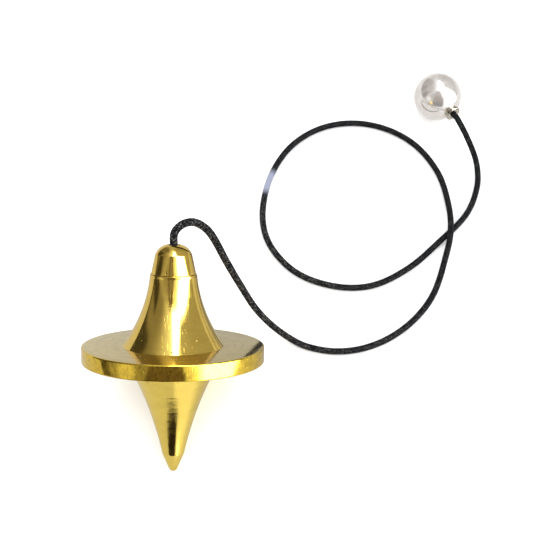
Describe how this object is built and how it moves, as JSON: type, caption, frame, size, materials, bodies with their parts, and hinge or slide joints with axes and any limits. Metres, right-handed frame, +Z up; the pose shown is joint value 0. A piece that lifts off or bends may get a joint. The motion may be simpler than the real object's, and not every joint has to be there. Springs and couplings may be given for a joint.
{
  "type": "spinning top pendulum",
  "caption": "Brass spinning-top-shaped pendulum: flared bell, flat disc and slender point, a screw cap, and a braided cord that ends in a metal bead.",
  "frame": {"origin": "bottom centre of the bob's box as it lies on its rim and tip, on the surface that it lies on", "axes": "+Z up; the bob's axis lies in the YZ plane and rises 37.2 degrees towards +Y, from the tip to the cap; the cord and bead lie on the +X, +Y side"},
  "size_m": [0.1019, 0.1116, 0.0345],
  "materials": {
    "polished_brass": "turned and polished to a mirror, with fine lengthways reflections",
    "disc_brass": "polished, with fine scratches from use",
    "satin_brass": "satin, with fine turning marks round it",
    "cap_brass": "turned and polished to a mirror",
    "stud_steel": "plain threaded stud, hidden",
    "cord_braid": "round braided and waxed, black",
    "bead_metal": "polished nickel",
    "ferrule_metal": "polished nickel"
  },
  "bodies": {
    "bob": {"upper_bell": "polished_brass", "flange_disc": "disc_brass", "lower_cone": "satin_brass", "joining_stud": "stud_steel"},
    "line": {"cord": "cord_braid", "stopper_knot": "cord_braid", "end_knot": "cord_braid"},
    "cap": {"screw_cap": "cap_brass"},
    "bead": {"bead": "bead_metal", "bead_ferrule": "ferrule_metal"}
  },
  "joints": [
    {"name": "cap_lift", "type": "slide", "parent": "bob", "child": "line", "axis": [0, 0.796, 0.6053], "range_m": [0, 0.0045]},
    {"name": "cap_turn", "type": "hinge", "parent": "line", "child": "cap", "pos_m": [0, 0.01446, 0.0273], "axis": [0, 0.796, 0.6053], "range_deg": [0, 1620]},
    {"name": "bead_turn", "type": "hinge", "parent": "line", "child": "bead", "pos_m": [0.0718, 0.084, 0.0065], "axis": [0.4683, -0.8808, 0.0698], "continuous": true}
  ],
  "couplings": [
    {"joint": "cap_turn", "follows": "cap_lift", "rad_per_m": 6283.2}
  ]
}
